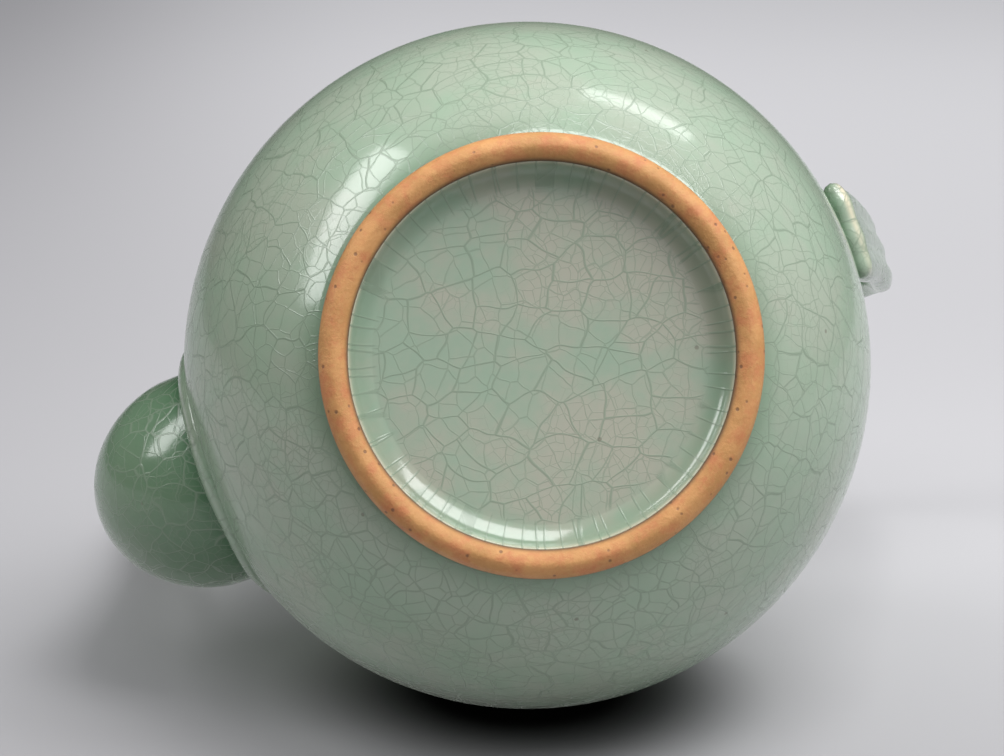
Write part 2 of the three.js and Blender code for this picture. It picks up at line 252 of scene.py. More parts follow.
def one_sided(paint, colour, hidden):
    """A matt sheet that is clear where hidden is 1."""
    matt = paint.add("BsdfDiffuse", None, Color=colour)
    clear = paint.add("BsdfTransparent")
    paint.join(paint.output.inputs["Surface"], paint.add("MixShader", None, hidden, matt, clear))
    return paint.material


lying = Paint("backdrop_sheet")
behind = lying.add("NewGeometry", out="Backfacing")
shadow_ray = lying.add("LightPath", out="Is Shadow Ray")
spot = lying.place()
sideways = lying.vector("DOT_PRODUCT", spot, tuple(photo_right), out="Value")
depth = lying.parts(spot)[2]
painted_shadow_reach = lying.vector("DISTANCE", spot, tuple(sheet_centre), out="Value")
# Painted light: the sheet is darker to the left and lighter to the right.
sheet_grey_painted_light = lying.colour(sideways.step(-0.24, 0.06), (0.330, 0.325, 0.338), (0.460, 0.455, 0.470))
# Painted light: a brighter patch further along the sheet, on the right.
painted_far_light = depth.step(0.30, 0.80) * sideways.step(-0.22, 0.0)
sheet_grey_painted_light = lying.colour(painted_far_light * 0.6, sheet_grey_painted_light, (0.72, 0.715, 0.735))
# Painted shade: the sheet is darker near the foot's end.
sheet_grey_painted_light = lying.colour((1 - depth.step(0.02, 0.16)) * 0.4, sheet_grey_painted_light, (0.26, 0.255, 0.265))
# Painted shadow: the sheet turns nearly black where the big bulb touches it.
sheet_grey_painted_light = lying.colour(1 - painted_shadow_reach.step(0.018, 0.056), sheet_grey_painted_light, (0.003, 0.003, 0.003))
one_sided(lying, sheet_grey_painted_light, behind.most(shadow_ray))
backdrop = flat_sheet(
    "backdrop_sheet",
    sheet_centre,
    sheet_along,
    photo_right,
    near=-0.16,
    far=1.6,
    half_width=0.6,
    paint=lying.material,
)
if backdrop.data.polygons[0].normal.dot(sheet_normal) < 0:
    backdrop.data.flip_normals()

FLOOR_GAP = 0.0002
FLOOR_REACH = 4
standing = Paint("standing_floor")
behind = standing.add("NewGeometry", out="Backfacing")
camera_ray = standing.add("LightPath", out="Is Camera Ray")
one_sided(standing, (0.62, 0.62, 0.63, 1.0), behind.most(1 - camera_ray))
floor = flat_sheet(
    "standing_floor",
    Vector((0, 0, -FLOOR_GAP)),
    Vector((0, 1, 0)),
    Vector((1, 0, 0)),
    near=-FLOOR_REACH,
    far=FLOOR_REACH,
    half_width=FLOOR_REACH,
    paint=standing.material,
)
if floor.data.polygons[0].normal.z < 0:
    floor.data.flip_normals()


def softbox(name, direction, distance, width, height, watts, aim=Vector((0, 0, 0.08)), tilt=0.0):
    lamp = bpy.data.lights.new(name, "AREA")
    lamp.shape = "RECTANGLE"
    lamp.size = width
    lamp.size_y = height
    lamp.energy = watts
    holder = bpy.data.objects.new(name, lamp)
    place = aim + direction.normalized() * distance
    facing = (aim - place).to_track_quat("-Z", "Y").to_matrix().to_4x4()
    holder.matrix_world = Matrix.Translation(place) @ facing @ Matrix.Rotation(tilt, 4, "Z")
    holder.visible_camera = False
    world_scene.collection.objects.link(holder)
    return holder


def seen_direction(right, up, nearer):
    """A direction given as it looks in the picture."""
    return photo_right * right + photo_up * up - Vector((0, 0, nearer))


softbox(
    "softbox_left",
    seen_direction(-0.788, 0.616, 0.25),
    distance=0.9,
    width=0.72,
    height=0.20,
    watts=3.3,
    tilt=math.radians(18),
)
softbox(
    "softbox_right", seen_direction(0.405, 0.91, -0.07), distance=1.0, width=0.42, height=0.10, watts=0.8
)
softbox(
    "softbox_key", seen_direction(0.35, 0.80, 0.50), distance=1.0, width=0.85, height=0.50, watts=11.0
)
softbox("top_light", Vector((-0.45, 0.45, 1.0)), distance=1.3, width=0.9, height=0.9, watts=9.0)

# The room is brightest above, to the right and behind the lens, and dim below and to the left.
sky = bpy.data.worlds.new("studio")
world_scene.world = sky
sky.use_nodes = True
sky_paint = Tree(sky.node_tree)
sky_out = sky.node_tree.nodes.new("ShaderNodeOutputWorld")
bright_side = seen_direction(0.50, 0.55, 0.67).normalized()
looking = sky_paint.add("TexCoord", out="Generated")
towards = sky_paint.vector("DOT_PRODUCT", looking, tuple(bright_side), out="Value")
room_light = 0.035 + towards.step(-0.35, 0.95) * 0.78
seen_directly = sky_paint.add("LightPath", out="Is Camera Ray")
room = sky_paint.add("Background", None, Color=(0.97, 0.98, 1.0, 1.0), Strength=room_light)
pale = sky_paint.add("Background", None, Color=(0.80, 0.80, 0.81, 1.0), Strength=1.0)
sky_paint.join(sky_out.inputs["Surface"], sky_paint.add("MixShader", None, seen_directly, room, pale))


# Lower bulb
# The big bulb is thrown and turned. Under it, inside the foot, the base is glazed too, and curves
# down in a cove to the bare ring. Glaze gathers in the cove, above the ring and round the spout.
GLAZE_GREEN = (0.278, 0.372, 0.272)
GLAZE_SOFT = (0.318, 0.368, 0.288)
BASE_GREEN = (0.262, 0.352, 0.262)
BASE_GREY = (0.350, 0.350, 0.280)
GLAZE_PINK = (0.360, 0.355, 0.292)
# Deep green of gathered glaze; on the handle strap it is laid on as painted shade too.
GLAZE_POOL_AND_SHADE = (0.062, 0.150, 0.070)
GLAZE_THIN = (0.680, 0.600, 0.440)
CRACK_COLOUR = (0.175, 0.235, 0.165)
CRACK_WIDTH = 0.00013
LONG_CRACK = (0.0080, 0.0056)  # length and breadth of a piece of glaze between long cracks
SHORT_CRACK = (0.0042, 0.0054)
FINE_CRACK = (0.0024, 0.0020)
BELLY_CIRCLE = 0.056  # radius at which a turn about the axis is drawn at its true length


def flat_chart(paint):
    """Lays the pattern out on the level base, seen from below."""
    x, y, _ = paint.parts(paint.place())
    return paint.add("CombineXYZ", None, x, y, 0.0)


def turn_chart(paint, circle):
    """Lays the pattern out round the axis: distance round a circle, and distance from the foot's middle."""
    x, y, z = paint.parts(paint.place())
    around = x.maths("ARCTAN2", -y) * circle
    reach = (x * x + y * y).maths("SQRT")
    down = (BULB_CENTRE - z) * (1 / FLATTENING)
    along = reach.maths("ARCTAN2", down) * BULB_RADIUS
    return paint.add("CombineXYZ", None, around, along, 0.0)


def crack_net(paint, chart, size, width, flat):
    """1 in the middle of a crack and 0 away from it, for pieces of glaze of a length and a breadth."""
    length, breadth = size
    scale = (1 / length, 1 / breadth, 2 / (length + breadth))
    stretched = paint.vector("MULTIPLY", chart, scale)
    settings = {"feature": "DISTANCE_TO_EDGE", "voronoi_dimensions": "2D" if flat else "3D"}
    edge = paint.add("TexVoronoi", settings, Vector=stretched, Scale=1.0, Randomness=0.95)
    return 1 - (edge * min(length, breadth)).step(width * 0.2, width * 1.7)


def crazing(paint, chart, dense, flat=True):
    """Long curved cracks, short ones across them and a fine net where the glaze is dense."""
    bent = paint.shaken(chart, 0.020, 0.0060)
    bent_short = paint.shaken(chart, 0.008, 0.0016)
    long_cracks = crack_net(paint, bent, LONG_CRACK, CRACK_WIDTH, flat)
    short_cracks = crack_net(paint, bent_short, SHORT_CRACK, CRACK_WIDTH * 0.8, flat)
    fine_cracks = crack_net(paint, bent_short, FINE_CRACK, CRACK_WIDTH * 0.6, flat) * dense
    return long_cracks.most(short_cracks * 0.7).most(fine_cracks * 0.5)


def glaze(name, green, grey, chart=None, patch_size=0.024, rim=False, crack_depth=0.75):
    """Celadon: greener where it pools and where painted shade is laid on, warmer where it lies thin, and
    crazed all over.
    """
    paint = Paint(name)
    where = paint.place()
    dense = paint.noise(where, 0.020, detail=2.0).step(0.45, 0.62)
    cracks = crazing(paint, chart(paint) if chart else where, dense, flat=chart is not None)
    if rim:
        x, y, _ = paint.parts(where)
        reach = (x * x + y * y).maths("SQRT")
        in_rim = reach.step(COVE_START - 0.0012, COVE_START + 0.0006)
        spokes = crack_net(paint, turn_chart(paint, COVE_START), (0.0032, 0.030), CRACK_WIDTH, True)
        cracks = cracks * (1 - in_rim) + spokes * in_rim
    patches = paint.noise(where, patch_size, detail=4.0, rough=0.65).step(0.33, 0.67)
    blush = paint.noise(where, 0.009, detail=4.0, rough=0.65).step(0.50, 0.72) * dense
    pool_and_shade = paint.marks("pool_and_shade")
    thin = paint.marks("thin")
    colour = paint.colour(patches, green, grey)
    colour = paint.colour(blush * 0.35, colour, GLAZE_PINK)
    # Gathered glaze darkens towards the pool green; on the handle strap this mark is painted shade too.
    colour = paint.colour(pool_and_shade, colour, GLAZE_POOL_AND_SHADE)
    colour = paint.colour(thin, colour, GLAZE_THIN)
    colour = paint.colour(cracks * crack_depth, colour, CRACK_COLOUR)
    speckle = paint.add("TexVoronoi", None, Vector=where, Scale=1 / 0.013)
    pits = 1 - speckle.step(0.022, 0.04)
    colour = paint.colour(pits * 0.5, colour, (0.12, 0.10, 0.07))
    ripple = paint.noise(where, 0.030, detail=1.0)
    peel = paint.noise(where, 0.004, detail=1.0)
    height = ripple * 0.30 + peel * 0.02 + cracks * 0.040 - pits * 0.05
    return paint.finish(
        height,
        0.0008,
        Base_Color=colour,
        Roughness=0.17 + cracks * 0.15,
        IOR=1.5,
        Coat_Weight=0.30,
        Coat_Roughness=0.08,
    )


COVE_START = FOOT_RADIUS - RING_WIDTH - COVE_WIDTH
body_glaze = glaze("celadon_glaze", GLAZE_GREEN, GLAZE_SOFT)
belly_glaze = glaze(
    "celadon_belly_glaze", GLAZE_GREEN, GLAZE_SOFT, lambda paint: turn_chart(paint, BELLY_CIRCLE)
)
base_glaze = glaze(
    "celadon_base_glaze", BASE_GREEN, BASE_GREY, flat_chart, 0.020, rim=True, crack_depth=0.70
)


def smooth(knots, steps):
    """Points on a smooth curve through knots, with even shares between each pair."""
    knots = np.array(knots, float)
    ends = np.vstack([2 * knots[0] - knots[1], knots, 2 * knots[-1] - knots[-2]])
    points = []
    for i in range(steps + 1):
        share = (len(knots) - 1) * i / steps
        first = min(int(share), len(knots) - 2)
        w = share - first
        p0, p1, p2, p3 = ends[first : first + 4]
        d0, d1, d2 = (max(np.linalg.norm(b - a), 1e-7) ** 0.5 for a, b in ((p0, p1), (p1, p2), (p2, p3)))
        t1 = ((p1 - p0) / d0 - (p2 - p0) / (d0 + d1) + (p2 - p1) / d1) * d1
        t2 = ((p2 - p1) / d1 - (p3 - p1) / (d1 + d2) + (p3 - p2) / d2) * d1
        points.append(p1 + t1 * w + (3 * (p2 - p1) - 2 * t1 - t2) * w**2 + (2 * (p1 - p2) + t1 + t2) * w**3)
    return np.array(points)


def clay_tree():
    """A geometry tree that skins over rings, each one a point with its "out" and "side" half widths."""
    group = bpy.data.node_groups.new("formed_clay", "GeometryNodeTree")
    tree = Tree(group)
    for name, kind in SHAPE_INPUTS.items():
        group.interface.new_socket(name, in_out="INPUT", socket_type="NodeSocket" + kind)
    group.interface.new_socket("Piece", in_out="OUTPUT", socket_type="NodeSocketGeometry")
    inputs = group.nodes.new("NodeGroupInput").outputs
    given = {name: Value(tree, inputs[name]) for name in SHAPE_INPUTS}
    line = given["Line"]
    around = given["Around"]
    rings = tree.add("GeometryNodeAttributeDomainSize", None, line)
    grid = tree.add(
        "GeometryNodeMeshGrid", None, Vertices_X=rings + given["Closed"], Vertices_Y=around + 1
    )
    index = tree.add("GeometryNodeInputIndex")
    ring = (index / (around + 1)).maths("FLOOR").maths("MODULO", rings)
    turn = index.maths("MODULO", around + 1).maths("MODULO", around) * (2 * math.pi) / around

    def sampled(vector):
        settings = {"data_type": "FLOAT_VECTOR"}
        return tree.add("GeometryNodeSampleIndex", settings, Geometry=line, Value=vector, Index=ring)

    def half_width(name):
        return sampled(tree.add("GeometryNodeInputNamedAttribute", {"data_type": "FLOAT_VECTOR"}, name))

    def rounded(wave, power):
        return wave.maths("SIGN") * wave.maths("ABSOLUTE").maths("POWER", power)

    def ripple(depth, waves, along):
        return 1 - depth * (1 - (waves * along).maths("COSINE")) / 2

    flute = ripple(given["Flute"], given["Flutes"], turn)
    wide = rounded(turn.maths("SINE"), given["Side Power"])
    groove = ripple(given["Groove"], given["Grooves"] * math.pi, wide)
    thick = rounded(turn.maths("COSINE"), given["Out Power"]) * groove
    outwards = tree.vector("SCALE", half_width("out"), Scale=thick * flute)
    sideways = tree.vector("SCALE", half_width("side"), Scale=wide * flute)
    middle = sampled(tree.add("GeometryNodeInputPosition"))
    place = tree.vector("ADD", tree.vector("ADD", middle, outwards), sideways)
    piece = tree.add("GeometryNodeSetPosition", None, Geometry=grid, Position=place)
    piece = tree.add("GeometryNodeRealizeInstances", None, piece)
    piece = tree.add("GeometryNodeSetMaterial", None, Geometry=piece, Material=given["Glaze"])
    below = (index / around).maths("FLOOR").maths("LESS_THAN", given["Rings Below"])
    piece = tree.add(
        "GeometryNodeSetMaterial", None, Geometry=piece, Selection=below, Material=given["Glaze Below"]
    )
    tree.join(group.nodes.new("NodeGroupOutput").inputs[0], piece)
    return group


SHAPE_INPUTS = {
    "Line": "Geometry",
    "Around": "Int",
    "Closed": "Int",
    "Out Power": "Float",
    "Side Power": "Float",
    "Groove": "Float",
    "Grooves": "Float",
    "Flute": "Float",
    "Flutes": "Float",
    "Glaze": "Material",
    "Glaze Below": "Material",
    "Rings Below": "Int",
}
ROUND_SECTION = {
    "Out Power": 1.0,
    "Side Power": 1.0,
    "Groove": 0.0,
    "Grooves": 0.0,
    "Flute": 0.0,
    "Flutes": 0.0,
}
FORMED_CLAY = clay_tree()


def shaped(name, rings, inputs):
    """The plain mesh that the tree makes of rings, each a middle, an outward and a side half width."""
    rings = np.array(rings, float)
    line = bpy.data.meshes.new(name)
    line.from_pydata(rings[:, 0].tolist(), [], [])
    for column, mark in enumerate(("out", "side"), start=1):
        layer = line.attributes.new(mark, "FLOAT_VECTOR", "POINT")
        layer.data.foreach_set("vector", rings[:, column].ravel().astype(np.float32))
    holder = bpy.data.objects.new(name, line)
    world_scene.collection.objects.link(holder)
    forming = holder.modifiers.new("formed_clay", "NODES")
    forming.node_group = FORMED_CLAY
    for item in FORMED_CLAY.interface.items_tree:
        if item.in_out == "INPUT" and item.name in inputs:
            forming[item.identifier] = inputs[item.name]
    formed = holder.evaluated_get(bpy.context.evaluated_depsgraph_get())
    mesh = bpy.data.meshes.new_from_object(formed)
    bpy.data.objects.remove(holder)
    bpy.data.meshes.remove(line)
    mesh.name = name
    return mesh


def form(
    name,
    rings,
    around,
    body,
    node,
    paint,
    closed=False,
    below=None,
    marks=None,
    section=None,
):
    """A closed piece of clay that rides on a body and stands for a CAD node."""
    paint_below, rings_below = below or (paint, 0)
    inputs = {
        **ROUND_SECTION,
        **(section or {}),
        "Around": around,
        "Closed": int(closed),
        "Glaze": paint,
        "Glaze Below": paint_below,
        "Rings Below": rings_below,
    }
    mesh = shaped(name, rings, inputs)
    work = bmesh.new()
    work.from_mesh(mesh)
    bmesh.ops.remove_doubles(work, verts=work.verts, dist=1e-6)
    bmesh.ops.dissolve_degenerate(work, edges=work.edges, dist=1e-7)
    bmesh.ops.holes_fill(work, edges=[edge for edge in work.edges if edge.is_boundary], sides=0)
    bmesh.ops.recalc_face_normals(work, faces=work.faces)
    if work.calc_volume(signed=True) < 0:
        bmesh.ops.reverse_faces(work, faces=work.faces)
    work.to_mesh(mesh)
    work.free()
    mesh.polygons.foreach_set("use_smooth", [True] * len(mesh.polygons))
    points = np.empty(len(mesh.vertices) * 3, np.float32)
    mesh.vertices.foreach_get("co", points)
    for mark in ("pool_and_shade", "thin"):
        layer = mesh.attributes.new(mark, "FLOAT", "POINT")
        values = (marks or {}).get(mark)
        if values is not None:
            strength = np.clip(values(points.reshape(-1, 3).astype(float)), 0, 1)
            layer.data.foreach_set("value", strength.astype(np.float32))
    piece = bpy.data.objects.new(name, mesh)
    world_scene.collection.objects.link(piece)
    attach(piece, body)
    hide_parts(node)
    return piece


def turned(profile):
    """Rings for a profile of (radius, height) turned about the axis."""
    return [((0, 0, z), (r, 0, 0), (0, r, 0)) for r, z in profile]


def arc(across, rise, radius, start, end, steps):
    """A round arc squashed in height as the gourd is; rise counts from the lower bulb's centre."""
    angles = np.linspace(start, end, steps + 1)
    heights = BULB_CENTRE + FLATTENING * (rise + radius * np.sin(angles))
    return list(zip(across + radius * np.cos(angles), heights))


WALL = 0.0038
BASE_HEIGHT = FOOT_HEIGHT - 0.0008
BASE_CROWN = 0.0004
FLOOR_HEIGHT = FOOT_HEIGHT + 0.005
COVE_OUTER = FOOT_RADIUS - RING_WIDTH
COVE_LOW = 0.0022
SPOUT_HEIGHT = BULB_CENTRE + 0.011
SPOUT_ROOT = 0.0224
spout_seat = math.sqrt(BULB_RADIUS**2 - ((SPOUT_HEIGHT - BULB_CENTRE) / FLATTENING) ** 2)
spout_centre = np.array([-spout_seat, 0.0, SPOUT_HEIGHT])
waist_angle = math.atan2(WAIST_RISE, WAIST_RADIUS + WAIST_FILLET)


def bulb_side(inset, from_height, steps):
    start = math.asin((from_height - BULB_CENTRE) / FLATTENING / (BULB_RADIUS - inset))
    side = arc(0, 0, BULB_RADIUS - inset, start, waist_angle, steps)
    fillet = arc(
        WAIST_RADIUS + WAIST_FILLET, WAIST_RISE, WAIST_FILLET + inset, waist_angle + math.pi, math.pi, 10
    )
    return side + fillet[1:]


cove = [
    (
        COVE_START + (COVE_OUTER - COVE_START) * share,
        BASE_HEIGHT - (BASE_HEIGHT - COVE_LOW) * (0.52 * share**1.2 + 0.18 * share**2 + 0.30 * share**8),
    )
    for share in np.linspace(0, 1, 24)
]
base = [(r, BASE_HEIGHT + BASE_CROWN * (1 - (r / COVE_START) ** 2)) for r in np.linspace(0, COVE_START, 30)]
tuck = [
    (COVE_OUTER + 0.0004, COVE_LOW + 0.0006),
    (COVE_OUTER + 0.0012, FOOT_HEIGHT),
    (FOOT_RADIUS - 0.0016, FOOT_HEIGHT),
]
outside = bulb_side(0, FOOT_HEIGHT, 110)
inside = bulb_side(WALL, FLOOR_HEIGHT, 60)[::-1]
bulb_profile = base + cove[1:] + tuck + outside + inside + [(0, FLOOR_HEIGHT)]
under_rows = len(base) + len(cove) - 1


def bulb_pool(points):
    reach = np.hypot(points[:, 0], points[:, 1])
    height = points[:, 2]
    under = (height < FOOT_HEIGHT + 0.0005) & (reach < COVE_OUTER + 0.001)
    in_cove = np.where(under, np.exp(-(((reach - (COVE_START + COVE_OUTER) / 2 - 0.0004) / 0.0024) ** 2)), 0)
    by_ring = np.where(under, 0, np.exp(-(np.maximum(reach - FOOT_RADIUS, 0) / 0.0032) ** 2))
    by_ring = np.where(height < BULB_CENTRE, by_ring, 0)
    by_waist = np.exp(-((height - BULB_HIGH.z) / 0.006) ** 2)
    from_spout = np.linalg.norm(points - spout_centre, axis=1) - SPOUT_ROOT
    by_spout = np.exp(-((from_spout - 0.002) / 0.0045) ** 2)
    return 0.35 * in_cove + 0.40 * by_ring + 0.4 * by_waist + 0.55 * by_spout


def bulb_thin(points):
    reach = np.hypot(points[:, 0], points[:, 1])
    edge = np.exp(-(((reach - COVE_OUTER) / 0.00035) ** 2)) * (points[:, 2] < FOOT_HEIGHT)
    return 0.5 * edge


form(
    "lower_bulb_glazed",
    turned(bulb_profile),
    288,
    "ewer",
    "lower_bulb",
    belly_glaze,
    below=(base_glaze, under_rows),
    marks={"pool_and_shade": bulb_pool, "thin": bulb_thin},
)


# Foot ring
# A ring of the body's own stoneware, turned round and left bare of glaze. Firing has turned it
# orange-brown, darker at the glaze's edge, with iron specks and small pits.
bare = Paint("bare_stoneware")
clay_place = bare.place()
clay_patch = bare.noise(clay_place, 0.010, detail=4.0, rough=0.6).step(0.35, 0.65)
clay_blush = bare.noise(clay_place, 0.0042, detail=5.0, rough=0.7).step(0.42, 0.68)
clay_grain = bare.noise(clay_place, 0.0007, detail=4.0, rough=0.8)
clay_speck = 1 - bare.add("TexVoronoi", None, Vector=clay_place, Scale=1 / 0.0028).step(0.08, 0.17)
clay_colour = bare.colour(clay_patch, (0.46, 0.225, 0.070), (0.58, 0.285, 0.100))
clay_colour = bare.colour(clay_blush * 0.65, clay_colour, (0.50, 0.150, 0.060))
clay_colour = bare.colour(clay_grain.step(0.45, 0.75) * 0.30, clay_colour, (0.66, 0.38, 0.16))
clay_colour = bare.colour(clay_speck * 0.65, clay_colour, (0.11, 0.05, 0.03))
clay_colour = bare.colour(bare.marks("pool_and_shade"), clay_colour, (0.10, 0.06, 0.035))
bare_clay = bare.finish(
    clay_grain * 0.6 + clay_patch * 0.4 - clay_speck * 0.3,
    0.00025,
    Base_Color=clay_colour,
    Roughness=0.50 + clay_grain * 0.2,
)
RING_INNER = COVE_OUTER
RING_TOP = 0.0074
ring_knots = [
    (RING_INNER + 0.0002, COVE_LOW + 0.0012),
    (RING_INNER + 0.0001, 0.0020),
    (RING_INNER + 0.0006, 0.0010),
    (RING_INNER + 0.0016, 0.0003),
    (RING_INNER + 0.0028, 0.0),
    (FOOT_RADIUS - 0.0018, 0.0003),
    (FOOT_RADIUS - 0.0007, 0.0012),
    (FOOT_RADIUS, 0.0029),
    (FOOT_RADIUS - 0.0002, 0.0046),
    (FOOT_RADIUS - 0.0010, 0.0062),
    (FOOT_RADIUS - 0.0012, RING_TOP),
]
ring_profile = [*smooth(ring_knots, 60), (RING_INNER + 0.0014, RING_TOP)]


def ring_edge(points):
    reach = np.hypot(points[:, 0], points[:, 1])
    inner = np.exp(-(((reach - RING_INNER) / 0.0005) ** 2))
    outer = np.exp(-((points[:, 2] - 0.0046) / 0.0016) ** 2) * (reach > FOOT_RADIUS - 0.002)
    return 0.9 * inner + 0.9 * outer


form(
    "foot_ring_clay",
    turned(ring_profile),
    360,
    "ewer",
    "foot_ring",
    bare_clay,
    closed=True,
    marks={"pool_and_shade": ring_edge},
)


# Upper bulb and neck
# The small bulb is thrown apart and luted on at the waist. Its neck opens in a short flared collar
# with a rounded lip, on which the lid sits.
small_start = math.atan2(WAIST_RISE - SMALL_RISE, WAIST_RADIUS + WAIST_FILLET)
small_end = math.atan2(NECK_RISE - SMALL_RISE, NECK_RADIUS + NECK_FILLET)


def small_side(inset, steps):
    waist = arc(
        WAIST_RADIUS + WAIST_FILLET, WAIST_RISE, WAIST_FILLET + inset, math.pi, small_start + math.pi, 10
    )
    ball = arc(0, SMALL_RISE, SMALL_RADIUS - inset, small_start, small_end, steps)
    neck = arc(NECK_RADIUS + NECK_FILLET, NECK_RISE, NECK_FILLET + inset, small_end + math.pi, math.pi, 8)
    return waist + ball[1:] + neck[1:]


def height_pool(*hollows):
    """Glaze gathered at each (height, spread, strength)."""
    return lambda points: sum(
        strength * np.exp(-((points[:, 2] - height) / spread) ** 2) for height, spread, strength in hollows
    )


form(
    "upper_bulb_glazed",
    turned(small_side(0, 80) + small_side(WALL, 50)[::-1]),
    224,
    "ewer",
    "upper_bulb",
    body_glaze,
    closed=True,
    marks={"pool_and_shade": height_pool((SMALL_LOW.z, 0.006, 0.45), (SMALL_HIGH.z, 0.004, 0.35))},
)

NECK_LOW, NECK_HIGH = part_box("neck_collar")
MOUTH_RADIUS = NECK_HIGH.x
LIP = 0.0016
neck_bore = NECK_RADIUS - WALL
neck_outside = smooth(
    [
        (NECK_RADIUS, NECK_LOW.z),
        (NECK_RADIUS + 0.0002, NECK_LOW.z + 0.004),
        (NECK_RADIUS + 0.0014, NECK_LOW.z + 0.0075),
        (MOUTH_RADIUS - 0.0002, NECK_HIGH.z - 2 * LIP),
        (MOUTH_RADIUS, NECK_HIGH.z - LIP),
        (MOUTH_RADIUS - 0.0005, NECK_HIGH.z - 0.0004),
        (MOUTH_RADIUS - LIP, NECK_HIGH.z),
    ],
    42,
)
neck_inside = [
    (neck_bore + 0.0007, NECK_HIGH.z),
    (neck_bore + 0.0002, NECK_HIGH.z - 0.0002),
    (neck_bore, NECK_HIGH.z - 0.0008),
    (neck_bore, NECK_LOW.z),
]
form(
    "neck_collar_glazed",
    turned([*neck_outside, *neck_inside]),
    160,
    "ewer",
    "neck_collar",
    body_glaze,
    closed=True,
    marks={
        "pool_and_shade": height_pool((NECK_LOW.z, 0.004, 0.35)),
        "thin": lambda p: 0.7 * np.exp(-((p[:, 2] - NECK_HIGH.z + 0.0004) / 0.0007) ** 2),
    },
)


# Spout
# A hollow spout, pulled by hand: a swollen root, then a slim tube that rises to the height of the
# upper bulb. A band of clay pressed round the root seals the join.
_, SPOUT_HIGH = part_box("spout")
SPOUT_WALL = 0.0026
LIP_DROP = 0.0004
SPOUT_ROOT_BORE = 0.018
ELBOW_RADIUS, ELBOW_REACH = 0.0176, spout_seat + 0.008
SLIM_RADIUS, SLIM_REACH = 0.0093, spout_seat + 0.012
TIP_RADIUS, TIP_REACH = 0.0066, spout_seat + 0.0176
spout_rise = SPOUT_HIGH.z - SPOUT_HEIGHT


def spout_height(share):
    return SPOUT_HEIGHT + share * spout_rise


spout_knots = [
    (spout_seat - SPOUT_ROOT, spout_height(-0.04), SPOUT_ROOT),
    (spout_seat + 0.001, spout_height(0.02), SPOUT_ROOT),
    (ELBOW_REACH, spout_height(0.13), ELBOW_RADIUS),
    ((ELBOW_REACH + SLIM_REACH) / 2, spout_height(0.3), (ELBOW_RADIUS + SLIM_RADIUS) / 2 - 0.0005),
    (SLIM_REACH, spout_height(0.55), SLIM_RADIUS),
    ((SLIM_REACH + TIP_REACH) / 2, spout_height(0.8), (SLIM_RADIUS + TIP_RADIUS) / 2 - 0.0003),
    (TIP_REACH, spout_height(1.0), TIP_RADIUS),
]


def carried(centres, thick, wide):
    """Rings for a section carried along centres; thick faces outwards, wide runs along Y."""
    centres = np.array(centres, float)
    along = np.gradient(centres, axis=0)
    along /= np.linalg.norm(along, axis=1)[:, None]
    out = np.cross(np.tile([0.0, 1.0, 0.0], (len(centres), 1)), along)
    out /= np.linalg.norm(out, axis=1)[:, None]
    side = np.cross(along, out)
    return np.stack([centres, out * thick[:, None], side * wide[:, None]], 1)


def lip_ring(share, height):
    """A level ring between the spout's outer and inner wall."""
    ring = spout_outside[-1] * share + spout_inside[-1] * (1 - share)
    ring[:, 2] = (height, 0, 0)
    return ring


spout_line = smooth([(-reach, 0, height) for reach, height, _ in spout_knots], 120)
spout_size = smooth([(radius, 0) for _, _, radius in spout_knots], 120)[:, 0]
bore_thinning = (SPOUT_ROOT - SPOUT_ROOT_BORE - SPOUT_WALL) / (SPOUT_ROOT - TIP_RADIUS)
bore_size = spout_size - SPOUT_WALL - bore_thinning * (spout_size - TIP_RADIUS)
spout_outside = carried(spout_line, spout_size, spout_size)
spout_inside = carried(spout_line, bore_size, bore_size)
spout_outside[-1] = lip_ring(1, SPOUT_HIGH.z - LIP_DROP)
spout_inside[-1] = lip_ring(0, SPOUT_HIGH.z - LIP_DROP)
spout_lip = [
    lip_ring(0.82, SPOUT_HIGH.z - LIP_DROP / 4),
    lip_ring(0.5, SPOUT_HIGH.z),
    lip_ring(0.18, SPOUT_HIGH.z - LIP_DROP / 4),
]


def off_bulb(points):
    """How far each point stands off the lower bulb."""
    level = (points[:, 2] - BULB_CENTRE) / FLATTENING
    reach = np.sqrt(points[:, 0] ** 2 + points[:, 1] ** 2 + level**2)
    return np.maximum(reach - BULB_RADIUS, 0)


def spout_pool(points):
    off = off_bulb(points)
    in_lee = np.exp(-np.maximum(points[:, 2] - SPOUT_HEIGHT, 0) / 0.035)
    return 0.30 * np.exp(-(off / 0.0028) ** 2) + (0.10 + 0.68 * in_lee) * np.exp(-(off / 0.040) ** 2)


def tip_thin(points):
    return 0.75 * np.exp(-((points[:, 2] - SPOUT_HIGH.z) / 0.0011) ** 2)


form(
    "spout_glazed",
    [*spout_outside, *spout_lip, *spout_inside[::-1]],
    96,
    "ewer",
    "spout",
    body_glaze,
    closed=True,
    marks={"pool_and_shade": spout_pool, "thin": tip_thin},
)

BEAD_HALF = 0.0031
BEAD_MIDDLE = SPOUT_ROOT + 0.0026
BEAD_HEIGHT = 0.0017
BEAD_SINK = 0.0004
BEAD_DROP = 0.0006


def bead_ring(angle):
    """The band's section at an angle round the root, flat on the bulb's curve."""
    wobble = 1 + 0.08 * math.sin(3 * angle + 0.7) + 0.05 * math.sin(7 * angle)
    y = BEAD_MIDDLE * math.cos(angle)
    z = SPOUT_HEIGHT + BEAD_DROP + BEAD_MIDDLE * math.sin(angle)
    level = (z - BULB_CENTRE) / FLATTENING**2
    x = -math.sqrt(BULB_RADIUS**2 - y**2 - level * (z - BULB_CENTRE))
    slope = -(y * math.cos(angle) + level * math.sin(angle)) / x
    across = BEAD_HALF * wobble
    return (
        (x + BEAD_SINK, y, z),
        (slope * across, math.cos(angle) * across, math.sin(angle) * across),
        (-BEAD_HEIGHT * wobble, 0, 0),
    )


